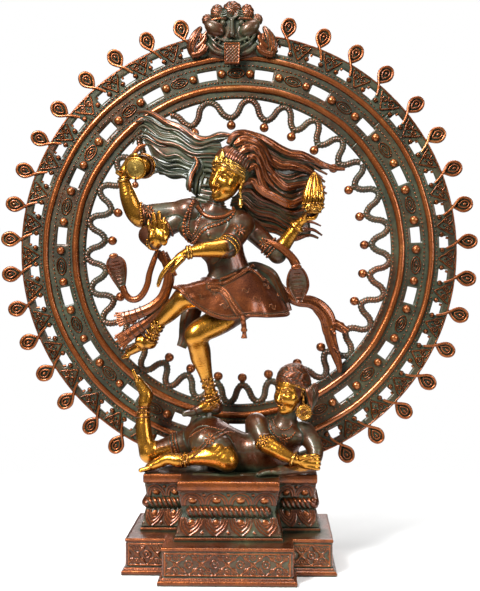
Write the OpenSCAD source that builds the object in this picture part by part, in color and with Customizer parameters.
// Nataraja: a four-armed dancer on a prone dwarf, inside a pierced aureole, on a stepped lotus plinth.
// Millimetres. +Z is up, the front faces -Y, and the origin is the bottom centre of the bounding box.
// Left and right in the node names are the viewer's, seen from the front.

/* [Plinth] */
// Height of the lower plinth casting
lower_h = 32; // [28:1:34]
// Half width of the lower plinth's wide rear part
lower_half_w = 89.5; // [84:0.5:96]
// Half width of the lower plinth's front projection
lower_mid_half_w = 54.5; // [50:0.5:60]
// Wall thickness of the hollow castings
wall = 4; // [3:0.5:5]
// Sideways offset of the plinth from the aureole's axis
plinth_x = -5; // [-8:1:0]

/* [Aureole] */
// Height of the aureole's centre
ring_z = 285.5; // [285:0.5:287]
// Outer radius of the pierced band
band_outer_r = 206.5; // [206:0.5:207.5]
// Inner radius of the pierced band
band_inner_r = 145; // [143:0.5:147]
// Thickness of the band
band_t = 5; // [4:0.5:5]
// Radius at which the flame loops' bulbs sit
loop_r = 218.7; // [217:0.1:221]

/* [Quality] */
// Facets of the round sculpted parts
limb_fn = 14; // [13:1:16]

/* [Hidden] */
$fn = 48;

COPPER = "#8a4526";
PATINA = "#4b5a45";
GOLD = "#d9a32b";
STEEL = "silver";

// Plinth levels, bottom to top
foot_h = 5;
foot_out = 4.5;
lower_front = -37.5;
lower_mid_front = -73.5;
lower_rear = 73.5;
waist_z = lower_h;
slab_t = 8;
slab_top = waist_z + 52;
slab_z = slab_top - slab_t;
waist_half_w = 75;
waist_mid_half_w = 41;
waist_front = -3;
waist_mid_front = -44.5;
waist_rear = 60;
slab_half_w = 78;
slab_mid_half_w = 44;
slab_front = -12;
slab_mid_front = -52.5;
slab_rear = 63;
rope_r = 5;
rope_end_swell = 0.3;
rope_z = waist_z + 25;
// Each waist layer is its top's height above the waist's foot and how far it stands out of the core
waist_layers = [[3.5, 6], [8, 5], [13, 3.4], [19.5, 1], [30.5, 0], [35, 0.8], [39, 1.7], [44, 2.6]];

// Aureole: angles round it are in degrees clockwise from the top, as the viewer sees it
band_front = 50;
band_rear = band_front + band_t;
outer_tube_r = 183;
outer_tube_t = 2.9;
inner_tube_r = 154.8;
inner_tube_t = 3.3;
mid_r = 168.5;
boss_r = 4.3;
boss_angle = 4.7;
outer_window = [9, 11.5];
outer_window_r = 194.7;
mid_window = [9.5, 17];
loop_bulb = 8;
loop_hole = 4;
loop_t = 4;
// The aureole is four castings. Each has its start angle, then the first angle, the pitch and the count
// of its flame loops, and the same three for its windows between the tubes
quarters = [
    [-48.5, [-41.4, 9.03, 10], [-47, 18.55, 6]],
    [47.5, [50.5, 9.25, 11], [65.2, 19.5, 5]],
    [143.5, [151.8, 10.06, 7], [162, 18.4, 4]],
    [219, [220.2, 8.83, 11], [235.9, 19.55, 4]],
    [311.5]]; // The last entry is where the first casting starts again
// The loops that would stand inside the lion mask or the plinth's slab are left off
mask_half_angle = 9;
seat_angle = 155;
// Angles of the garland's inward crests, which carry the balls
crests = [-33, -20, -3, 12, 25, 37, 49, 61, 74, 87, 100, 113, 126, 139, 152, 166, 178, 189, 202, 213,
    225, 237, 249, 262, 275, 288, 301, 314];
first_crests = [1, 7, 15, 21, 28];
wave_r = 135.5;
wave_swing = 8.4;
wave_w = 4.8;
wave_t = 4;
wave_steps = 14;
garland_ball_r = 4.2;
garland_ball_at = 120;

// Screws
bolt_d = 6;
stud_d = 4;
bolt_at = [[-28, 14], [26, 12]];
stud_x = 24;
stud_y = (band_front + band_rear) / 2;

// The dancer's joints
neck = [-12, 8, 328];
head_c = [-9, 6, 356];
chest = [-18, 10, 308];
waist = [-14, 12, 276];
pelvis = [0, 12, 249];
drum_shoulder = [-46, 13, 323];
drum_elbow = [-90, 12, 314];
drum_wrist = [-104, 8, 348];
drum_palm = [-98, 4, 362];
drum_c = [-87, -2, 355];
blessing_elbow = [-82, 6, 296];
blessing_wrist = [-68, -12, 288];
blessing_palm = [-66, -18, 299];
blessing_tips = [-65, -22, 317];
point_shoulder = [8, 8, 309];
point_elbow = [-2, -16, 286];
point_wrist = [-43, -24, 283];
point_knuckles = [-54, -24, 276];
point_tips = [-68, -22, 256];
flame_shoulder = [14, 18, 308];
flame_elbow = [44, 18, 285];
flame_wrist = [56, 12, 309];
flame_palm = [68, 8, 318];
raised_hip = [-12, 4, 246];
raised_knee = [-47, -10, 243];
raised_ankle = [-72, 10, 219];
raised_heel = [-78, 14, 203];
raised_toes = [-110, 34, 189];
standing_hip = [4, 12, 234];
standing_knee = [-37, -4, 209];
standing_ankle = [-25, 12, 160];
standing_heel = [-17, 16, 141];
standing_toes = [-49, 2, 138];
sole_z = 134;

// The dwarf's joints
dwarf_hip = [-28, 14, 112];
dwarf_waist = [3, 12, 105];
dwarf_chest = [30, 10, 112];
dwarf_head_c = [46, -2, 160];
dwarf_neck = [44, 0, 137];
near_shoulder = [18, -4, 126];
near_elbow = [24, -20, 112];
near_wrist = [52, -26, 103];
near_hand = [66, -24, 101];
far_shoulder = [62, 4, 118];
far_elbow = [58, -8, 95];
far_hand = [24, -22, 88];
near_hip = [-18, 2, 110];
near_knee = [-6, -8, 96];
near_ankle = [-44, -4, 94];
near_heel = [-58, 0, 95];
near_toes = [-84, 4, 87];
far_hip = [-42, 18, 106];
far_knee = [-80, 18, 96];
far_ankle = [-88, 22, 140];
far_heel = [-82, 26, 152];
far_toes = [-99, 24, 173];

// A wide rear part with a narrower projection in front
module t_plan(half, front, rear, mid_half, mid_front, out = 0) polygon([
    [-half - out, rear + out], [-half - out, front - out], [-mid_half - out, front - out],
    [-mid_half - out, mid_front - out], [mid_half + out, mid_front - out], [mid_half + out, front - out],
    [half + out, front - out], [half + out, rear + out]]);

module lower_plan(out = 0) t_plan(lower_half_w, lower_front, lower_rear, lower_mid_half_w, lower_mid_front, out);
module waist_plan(out = 0) t_plan(waist_half_w, waist_front, waist_rear, waist_mid_half_w, waist_mid_front, out);
module slab_plan() t_plan(slab_half_w, slab_front, slab_rear, slab_mid_half_w, slab_mid_front);

// A plan of the plinth made solid from one level to another
module layer(z0, z1) translate([plinth_x, 0, z0]) linear_extrude(z1 - z0) children();

module plinth_lower() color(COPPER) difference() {
    union() {
        layer(0, foot_h) lower_plan(foot_out);
        layer(foot_h, foot_h + 3) lower_plan(foot_out / 2);
        layer(foot_h + 3, lower_h) lower_plan();
    }
    layer(-1, lower_h - wall) lower_plan(-wall);
    layer(-1, lower_h + 1) waist_plan(-wall);
}

module plinth_waist() color(COPPER) difference() {
    for (i = [0 : len(waist_layers) - 1])
        layer(waist_z + (i == 0 ? 0 : waist_layers[i - 1][0]), waist_z + waist_layers[i][0])
            waist_plan(waist_layers[i][1]);
    layer(waist_z - 1, slab_z + 1) waist_plan(-wall);
    rope_shapes();
}

// The aureole's rim stands in a slot in the slab
module plinth_slab() color(COPPER) difference() {
    layer(slab_z, slab_top) slab_plan();
    for (p = bolt_at) translate([p[0], p[1], slab_z - 1]) cylinder(d = bolt_d, h = slab_t + 2);
    for (s = [-1, 1]) translate([s * stud_x, stud_y, slab_z - 1]) cylinder(d = stud_d, h = slab_t + 2);
    ring_disc(band_outer_r, 0);
}

// A round moulding with slightly swollen ends, level and along X or Y
module rope_rod(a, b) {
    translate(a) rotate(a[0] == b[0] ? [-90, 0, 0] : [0, 90, 0]) cylinder(r = rope_r, h = norm(b - a));
    for (end = [a, b]) translate(end) sphere(r = rope_r + rope_end_swell);
}

module rope_shapes() {
    mid_end = waist_mid_half_w - 4;
    rope_rod([plinth_x - mid_end, waist_mid_front, rope_z], [plinth_x + mid_end, waist_mid_front, rope_z]);
    for (s = [-1, 1]) {
        inner_x = plinth_x + s * (waist_mid_half_w + rope_r);
        outer_x = plinth_x + s * (waist_half_w - 3);
        side_x = plinth_x + s * waist_half_w;
        rope_rod([min(inner_x, outer_x), waist_front, rope_z], [max(inner_x, outer_x), waist_front, rope_z]);
        rope_rod([side_x, waist_front + rope_r + 3, rope_z], [side_x, waist_rear - 4, rope_z]);
    }
}

module rope_mouldings() color(COPPER) rope_shapes();

// A disc in the ring's plane, as thick as the band, and thicker by clear on both faces
module ring_disc(r, clear) translate([0, band_rear + clear, ring_z]) rotate([90, 0, 0])
    cylinder(r = r, h = band_t + 2 * clear, $fn = 200);

// Turns children drawn with +X outwards to an angle round the ring, with their base at a depth
module round_ring(angle, y) translate([0, y, ring_z]) rotate([90, 0, 0]) rotate(90 - angle) children();

function polar(r, a) = [r * sin(a), r * cos(a)];

module sector(a0, a1) polygon([[0, 0], for (t = [0 : 3]) polar(2 * band_outer_r, a0 + t * (a1 - a0) / 3)]);

// Angles of one casting's evenly spaced features
function spaced(feature) = [for (k = [0 : feature[2] - 1]) feature[0] + k * feature[1]];
loop_angles = [for (q = [0 : 3]) each spaced(quarters[q][1])];
window_angles = [for (q = [0 : 3]) each spaced(quarters[q][2])];

module windows(angles, radius, size) for (a = angles) rotate(90 - a) translate([radius, 0])
    square(size, center = true);

// One casting of the ring, with its windows and its two round ribs
module ring_segment(i) {
    difference() {
        intersection() {
            union() {
                round_ring(90, band_rear) linear_extrude(band_t) difference() {
                    circle(r = band_outer_r, $fn = 200);
                    circle(r = band_inner_r, $fn = 200);
                    windows(loop_angles, outer_window_r, outer_window);
                    windows(window_angles, mid_r, mid_window);
                }
                for (tube = [[outer_tube_r, outer_tube_t], [inner_tube_r, inner_tube_t]])
                    round_ring(0, band_front) rotate_extrude($fn = 200) translate([tube[0], 0]) circle(r = tube[1]);
            }
            round_ring(90, band_rear + 1) linear_extrude(band_t + 10) sector(quarters[i][0], quarters[i + 1][0]);
        }
        if (i == 2) stud_shapes();
    }
}

module aureole_top() color(COPPER) ring_segment(0);
module aureole_right() color(COPPER) ring_segment(1);
module aureole_bottom() color(COPPER) ring_segment(2);
module aureole_left() color(COPPER) ring_segment(3);

// Half balls on both sides of each window between the tubes
module aureole_bosses() color(COPPER) for (a = window_angles) for (s = [-1, 1])
    round_ring(a + s * boss_angle, band_front) translate([mid_r, 0, 0]) difference() {
        sphere(r = boss_r, $fn = 24);
        translate([-boss_r, -boss_r, -2 * boss_r]) cube(2 * boss_r);
    }

// A teardrop plate that stands on the band's rim, with a sunk eye
module flame_loop() {
    neck_half = 2.2;
    linear_extrude(loop_t) difference() {
        union() {
            translate([loop_r, 0]) circle(r = loop_bulb);
            polygon([[band_outer_r - 1, -neck_half], [loop_r - 1, 1 - loop_bulb],
                [loop_r - 1, loop_bulb - 1], [band_outer_r - 1, neck_half]]);
        }
        translate([loop_r, 0]) circle(r = loop_hole);
        circle(r = band_outer_r, $fn = 200);
    }
    translate([loop_r, 0, 0]) cylinder(r = loop_hole + 0.2, h = loop_t / 2);
}

function on_side(side, a) = let (b = a > 180 ? a - 360 : a)
    side * b > mask_half_angle && abs(b) < seat_angle;

module flame_loops(side) for (a = loop_angles) if (on_side(side, a))
    round_ring(a, band_rear - 0.5) flame_loop();

module flame_loops_left() color(COPPER) flame_loops(-1);
module flame_loops_right() color(COPPER) flame_loops(1);

function crest(k) = k < len(crests) ? crests[k] : crests[k - len(crests)] + 360;
// The rope's middle line, u = 0 where it meets the band and u = 1 at the next crest
function wave_radius(u) = let (s = cos(180 * u)) wave_r + wave_swing * sign(s) * pow(abs(s), 0.75);

// The rope from its rest on the band before one crest to its rest on the band after another
module garland(i) {
    first = first_crests[i];
    last = first_crests[i + 1] - 1;
    half = wave_w / 2;
    line = [for (k = [first : last]) for (s = [-wave_steps / 2 : k == last ? wave_steps / 2 : wave_steps / 2 - 1])
        let (u = abs(2 * s / wave_steps), rest = (crest(k) + crest(k + sign(s + 0.1))) / 2)
        polar(wave_radius(1 - u), crest(k) + u * (rest - crest(k)))];
    last_i = len(line) - 1;
    function across(j) = let (d = line[min(j + 1, last_i)] - line[max(j - 1, 0)]) half * [-d[1], d[0]] / norm(d);
    round_ring(90, band_rear - 0.5) linear_extrude(wave_t) difference() {
        polygon([for (j = [0 : last_i]) line[j] + across(j), for (j = [last_i : -1 : 0]) line[j] - across(j)]);
        difference() {
            circle(r = band_outer_r, $fn = 200);
            circle(r = band_inner_r, $fn = 200);
        }
    }
    for (k = [first : last]) round_ring(crest(k), band_rear - 0.5 - wave_t / 2)
        translate([garland_ball_at, 0, 0]) sphere(r = garland_ball_r, $fn = 24);
}

module garland_top() color(PATINA) garland(0);
module garland_right() color(PATINA) garland(1);
module garland_bottom() color(PATINA) garland(2);
module garland_left() color(PATINA) garland(3);

// A chain of tapered round links through points, with a radius at each point
module limb(points, radii, fn = limb_fn) for (i = [0 : len(points) - 2]) hull() {
    translate(points[i]) sphere(r = radii[i], $fn = fn);
    translate(points[i + 1]) sphere(r = radii[i + 1], $fn = fn);
}

// An ellipsoid with half sizes s
module egg(c, s, fn = limb_fn) translate(c) hull() scale(s) sphere(r = 1, $fn = fn);

mask_x = -5;
mask_y = band_front - 3;
mask_z = 492;

// The plain solid of the band and tubes, to which anything brazed to the ring is cut
module ring_solids() {
    difference() {
        ring_disc(band_outer_r, 0);
        ring_disc(band_inner_r, 1);
    }
    for (tube = [[outer_tube_r, outer_tube_t], [inner_tube_r, inner_tube_t]])
        round_ring(0, band_front) rotate_extrude($fn = 96) translate([tube[0], 0]) circle(r = tube[1], $fn = 16);
}

// A lion's face over the ring's top: cheeks, three curls, a nose and a tongue plaque on the outer tube
module kirtimukha_mask() color(COPPER) difference() {
    union() {
        egg([mask_x, mask_y, mask_z - 2], [24, 9, 22]);
        for (s = [-1, 1]) egg([mask_x + s * 18, mask_y - 2, mask_z + 2], [12, 7, 11]);
        for (s = [-1 : 1]) egg([mask_x + s * 15, mask_y + 1, mask_z + 21 - 4 * abs(s)], [8, 7, 9]);
        limb([[mask_x, mask_y - 6, mask_z + 6], [mask_x, mask_y - 10, mask_z - 6]], [2, 4]);
        translate([mask_x - 7, mask_y - 4, mask_z - 33]) cube([14, 3, 15]);
    }
    ring_solids();
}

module mask_side_scrolls() color(COPPER) difference() {
    for (s = [-1, 1]) limb([[mask_x + s * 31, band_front - 4, 472], [mask_x + s * 40, band_front - 3, 480],
        [mask_x + s * 37, band_front - 2, 490]], [7, 6, 3], 12);
    ring_solids();
    kirtimukha_mask();
}

module dancer_torso() color(COPPER) {
    hull() {
        egg(chest + [-13, 0, 8], [15, 11, 12]);
        egg(chest + [13, 0, 2], [15, 11, 13]);
    }
    hull() {
        egg(chest - [0, 0, 6], [22, 13, 12]);
        egg(waist, [15, 11, 10]);
    }
    hull() {
        egg(waist, [15, 11, 10]);
        egg(pelvis, [22, 15, 12]);
    }
    limb([chest + [3, -1, 10], neck], [10, 8]);
}

module head_shape() {
    egg(head_c, [14, 16, 21]);
    limb([neck, neck + [3, 0, 8]], [7.8, 8]);
    egg(head_c + [7, 6, 12], [22, 16, 23]);
}

module dancer_head() color(GOLD) difference() {
    head_shape();
    dancer_torso();
}

// A beaded band round the brow with a leaf-shaped crest
module dancer_tiara() color(GOLD) difference() {
    union() {
        limb([head_c + [-13, -8, 13], head_c + [-4, -14, 14], head_c + [12, -12, 11]], [3, 5, 3.5], 12);
        limb([head_c + [-4, -15, 14], head_c + [1, -13, 29]], [5.5, 2.5], 12);
    }
    head_shape();
}

// Locks of hair: a fan of flat tapered links from one root
module locks(root, tips, root_r, tip_r) for (t = tips) hull() {
    egg(root, [root_r, 6, root_r], 12);
    egg(t, [tip_r, 4, tip_r], 12);
}

module hair_left() color(PATINA) difference() {
    union() {
        locks([-32, 24, 372], [[-92, 40, 398], [-84, 42, 410], [-70, 32, 364]], 17, 8);
        limb([[-4, 16, 378], [-32, 24, 372]], [15, 14], 12);
        limb([[-34, 22, 368], [-38, 20, 342]], [12, 9], 12);
    }
    head_shape();
    dancer_tiara();
    dancer_torso();
    ring_solids();
}

module hair_right() color(PATINA) difference() {
    union() {
        locks([24, 20, 350], [[75, 28, 358], [75, 28, 340], [73, 26, 322], [70, 26, 307], [42, 26, 302]], 18, 7);
        limb([[6, 16, 378], [24, 18, 366], [62, 26, 366], [93, 40, 363]], [14, 15, 7, 4], 12);
    }
    hair_left();
    head_shape();
    dancer_torso();
    flame_arm_shape();
    flame_shape();
    ring_solids();
}

module drum_arm_shape() {
    limb([drum_shoulder, drum_elbow, (drum_elbow + drum_wrist) / 2 + [-3, -1, -3], drum_wrist],
        [9.5, 8.5, 8.5, 5]);
    limb([drum_wrist, drum_palm, drum_palm + [4, 0, 10], drum_palm + [12, -2, 16]], [5.5, 6.5, 4, 2.5], 12);
}

module drum_arm() color(GOLD) difference() {
    drum_arm_shape();
    dancer_torso();
    drum();
    hair_left();
    ring_solids();
}

// An hourglass drum seen end on
module drum() color(GOLD) translate(drum_c - [0, 9, 0]) rotate([-90, 0, 0]) {
    cylinder(r1 = 10, r2 = 6.5, h = 9);
    translate([0, 0, 9]) cylinder(r1 = 6.5, r2 = 10, h = 9);
}

module blessing_arm_shape() {
    limb([drum_shoulder + [0, -4, -6], blessing_elbow, blessing_wrist], [8, 8, 5.5]);
    limb([blessing_wrist, blessing_palm], [5.5, 8]);
    for (k = [0 : 3]) limb([blessing_palm + [3 * k - 6, 0, 5],
        blessing_tips + [3.4 * k - 6, 0, -2 * abs(k - 1.6)]], [2.4, 1.6], 12);
}

module blessing_arm() color(GOLD) difference() {
    blessing_arm_shape();
    dancer_torso();
    drum_arm_shape();
}

module pointing_arm_shape() {
    limb([point_shoulder, point_elbow, (point_elbow * 2 + point_wrist) / 3, point_wrist], [9.5, 8, 7.6, 4.6]);
    limb([point_wrist, point_knuckles, point_tips], [4.6, 4.8, 1.8]);
}

module pointing_arm() color(GOLD) difference() {
    pointing_arm_shape();
    dancer_torso();
}

module flame_arm_shape() {
    limb([flame_shoulder, flame_elbow, flame_wrist], [9, 8, 5]);
    limb([flame_wrist, flame_palm], [4.5, 5.5]);
    egg(flame_palm + [0, -2, 0], [10, 7, 4.5]);
}

module flame_arm() color(GOLD) difference() {
    flame_arm_shape();
    dancer_torso();
    pointing_arm_shape();
}

module flame_shape() {
    egg(flame_palm + [1, -2, 12], [11, 8, 11]);
    limb([flame_palm + [1, -2, 16], flame_palm + [5, -2, 34]], [9, 1.5], 12);
}

module flame() color(GOLD) difference() {
    flame_shape();
    flame_arm_shape();
}

module raised_leg_shape() {
    limb([raised_hip, raised_knee, (raised_knee * 2 + raised_ankle) / 3, raised_ankle], [14, 10.5, 10, 6]);
    limb([raised_ankle, raised_heel, raised_toes], [6, 6, 3.5]);
}

module raised_leg() color(GOLD) difference() {
    raised_leg_shape();
    dancer_torso();
    pointing_arm_shape();
    ring_solids();
}

module standing_leg_shape() {
    limb([standing_hip, standing_knee, (standing_knee * 2 + standing_ankle) / 3, standing_ankle],
        [13, 10.5, 10, 6.5]);
    limb([standing_ankle, standing_heel + [0, 0, 1], standing_toes], [6.8, 7, 3.6]);
}

// The sole is flat, and rests on the dwarf's back
module standing_leg() color(GOLD) difference() {
    standing_leg_shape();
    dancer_torso();
    raised_leg_shape();
    pin_shape();
    translate([-100, -50, 100]) cube([100, 100, sole_z - 100]);
}

module skirt_shape() {
    hull() {
        egg(pelvis + [-4, 0, 8], [16, 14, 9]);
        egg([-43, -8, 243], [9, 13, 10]);
        egg([-12, -6, 231], [10, 12, 8]);
    }
    hull() {
        egg(pelvis + [4, 2, 10], [19, 14, 11]);
        egg([31, 18, 228], [12, 14, 5]);
        egg([6, 14, 225], [14, 16, 5]);
        egg([-12, -4, 230], [10, 12, 8]);
    }
}

module skirt() color(COPPER) difference() {
    skirt_shape();
    dancer_torso();
    raised_leg_shape();
    standing_leg_shape();
}

module belt_sash() color(COPPER) difference() {
    limb([[-8, -12, 258], [1, -14, 242], [6, -11, 224], [6, -8, 213]], [4, 4, 4, 3.5], 12);
    skirt_shape();
    dancer_torso();
    raised_leg_shape();
    standing_leg_shape();
}

module rear_drape_shape() hull() {
    translate([-32, 14, 244]) cube([48, 4, 2]);
    translate([-52, 16, 201]) cube([10, 4, 2]);
    translate([-6, 16, 214]) cube([24, 4, 2]);
}

module rear_drape() color(PATINA) difference() {
    rear_drape_shape();
    skirt_shape();
    dancer_torso();
    raised_leg_shape();
    standing_leg_shape();
}

module cobra_shape() {
    limb([[-76, 6, 284], [-80, 10, 268], [-85, 14, 250], [-93, 18, 241], [-102, 20, 246], [-107, 20, 260]],
        [3.5, 3.2, 3.2, 3.2, 3.2, 5], 12);
    hull() {
        egg([-107, 19, 263], [7, 3, 8], 12);
        egg([-112, 17, 276], [7, 4, 5], 12);
    }
    limb([[-111, 16, 277], [-119, 12, 281]], [4, 3], 12);
}

module cobra() color(COPPER) difference() {
    cobra_shape();
    blessing_arm_shape();
}

module scarf_tails() color(COPPER) difference() {
    union() {
        limb([[-64, 8, 284], [-64, 9, 268], [-67, 12, 248], [-78, 20, 230], [-96, 28, 219], [-112, 36, 214]],
            [6, 5.5, 5.5, 5, 4.5, 5], 12);
        limb([[-78, 22, 228], [-98, 32, 206], [-114, 38, 197]], [5, 4.5, 4.5], 12);
    }
    blessing_arm_shape();
    pointing_arm_shape();
    raised_leg_shape();
    cobra_shape();
    ring_solids();
}

module arm_serpent_shape() {
    limb([[46, 12, 282], [52, 12, 274], [56, 12, 264]], [5, 4, 5], 12);
    hull() {
        egg([56, 10, 262], [8, 4, 8], 12);
        egg([56, 10, 246], [7, 4, 9], 12);
    }
}

module arm_serpent() color(PATINA) difference() {
    arm_serpent_shape();
    flame_arm_shape();
}

// The cloth end that leaves the waist behind and falls to the ring
module rear_sash() color(COPPER) difference() {
    limb([[4, 26, 280], [30, 26, 265], [48, 24, 244], [60, 20, 238], [74, 24, 232], [84, 31, 219], [82, 36, 204],
        [90, 40, 188], [95, 42, 178]], [6, 6, 5, 4.5, 5, 5, 6, 5, 4], 12);
    arm_serpent_shape();
    flame_arm_shape();
    dancer_torso();
    skirt_shape();
    ring_solids();
}

module dwarf_body_shape() {
    hull() {
        egg(dwarf_hip, [22, 19, 18]);
        egg(dwarf_hip + [-16, 2, -10], [14, 16, 13]);
    }
    hull() {
        egg(dwarf_hip + [6, 0, -4], [16, 17, 14]);
        egg(dwarf_waist, [12, 16, 14]);
    }
    hull() {
        egg(dwarf_waist, [12, 16, 14]);
        egg(dwarf_chest, [22, 18, 17]);
        egg([60, 8, 112], [12, 13, 13]);
    }
    limb([[36, 2, 124], dwarf_neck], [12, 9]);
}

// Everything below the slab's top, where the dwarf's parts lie flat
module under_slab_top() translate([-120, -60, 0]) cube([240, 120, slab_top]);

// The body is tapped from below for the bolts, and drilled from above for the pin
module dwarf_body() color(COPPER) difference() {
    dwarf_body_shape();
    under_slab_top();
    bolt_shapes();
    pin_shape();
    dwarf_raised_leg_shape();
    dwarf_near_leg_shape();
    standing_leg();
}

module dwarf_head_shape() {
    egg(dwarf_head_c + [-2, -3, -2], [16, 14, 17]);
    egg(dwarf_head_c + [4, 3, 4], [19, 16, 20]);
    limb([dwarf_head_c + [10, -4, -8], dwarf_head_c + [15, -4, -20]], [6, 6], 12);
}

module dwarf_head() color(GOLD) difference() {
    dwarf_head_shape();
    dwarf_body_shape();
}

module dwarf_near_leg_shape() {
    limb([near_hip, near_knee, near_ankle], [14, 11.5, 7.5]);
    limb([near_ankle, near_heel, near_toes], [7, 7, 3], 12);
}

module dwarf_near_leg() color(GOLD) difference() {
    dwarf_near_leg_shape();
    under_slab_top();
    bolt_shapes();
}

module dwarf_raised_leg_shape() {
    limb([far_hip, far_knee, far_ankle], [14, 11, 7]);
    limb([far_ankle, far_heel, far_toes], [7, 7, 3], 12);
}

module dwarf_raised_leg() color(GOLD) difference() {
    dwarf_raised_leg_shape();
    under_slab_top();
    dwarf_near_leg_shape();
    bolt_shapes();
}

module dwarf_near_arm_shape() limb([near_shoulder, near_elbow, near_wrist, near_hand], [9, 7.5, 5.5, 8]);

module dwarf_near_arm() color(GOLD) difference() {
    dwarf_near_arm_shape();
    dwarf_body_shape();
}

module dwarf_far_arm() color(COPPER) difference() {
    limb([far_shoulder, far_elbow, far_hand], [10, 7, 4.5]);
    dwarf_body_shape();
    dwarf_near_arm_shape();
    under_slab_top();
}

// A dowel between the standing foot and the dwarf's back
module pin_shape() translate([-25, 12, sole_z - 14]) cylinder(d = 6, h = 24, $fn = 24);
module foot_pin() color(STEEL) pin_shape();

bolt_top = slab_top + 18;
washer_t = 1.5;
head_t = 4;

// Hex bolts driven up from inside the plinth
module bolt_shapes() for (p = bolt_at) translate([p[0], p[1], slab_z - washer_t - head_t]) {
    cylinder(d = 10 / cos(30), h = head_t, $fn = 6);
    cylinder(d = bolt_d, h = bolt_top - slab_z + washer_t + head_t);
}

module figure_bolts() color(STEEL) bolt_shapes();

module washer(d_out, d_in, h) difference() {
    cylinder(d = d_out, h = h);
    translate([0, 0, -1]) cylinder(d = d_in, h = h + 2);
}

module figure_washers() color(STEEL) for (p = bolt_at)
    translate([p[0], p[1], slab_z - washer_t]) washer(12, bolt_d, washer_t);

// Studs tapped up into the ring's rim, drawn down on the slab by nuts inside the waist
module stud_shapes() for (s = [-1, 1]) translate([s * stud_x, stud_y, slab_z - 8]) cylinder(d = stud_d, h = 18);
module aureole_studs() color(STEEL) stud_shapes();

module aureole_washers() color(STEEL) for (s = [-1, 1])
    translate([s * stud_x, stud_y, slab_z - 1]) washer(7, stud_d, 1);

module aureole_nuts() color(STEEL) for (s = [-1, 1]) translate([s * stud_x, stud_y, slab_z - 4.2]) difference() {
    cylinder(d = 6 / cos(30), h = 3.2, $fn = 6);
    translate([0, 0, -1]) cylinder(d = stud_d, h = 6);
}

plinth_lower();
plinth_waist();
plinth_slab();
rope_mouldings();
aureole_top();
aureole_right();
aureole_bottom();
aureole_left();
aureole_bosses();
flame_loops_left();
flame_loops_right();
garland_top();
garland_right();
garland_bottom();
garland_left();
kirtimukha_mask();
mask_side_scrolls();
dancer_torso();
dancer_head();
dancer_tiara();
hair_left();
hair_right();
drum_arm();
drum();
blessing_arm();
pointing_arm();
flame_arm();
flame();
raised_leg();
standing_leg();
skirt();
belt_sash();
rear_drape();
cobra();
scarf_tails();
arm_serpent();
rear_sash();
dwarf_body();
dwarf_head();
dwarf_near_leg();
dwarf_raised_leg();
dwarf_near_arm();
dwarf_far_arm();
foot_pin();
figure_bolts();
figure_washers();
aureole_studs();
aureole_washers();
aureole_nuts();
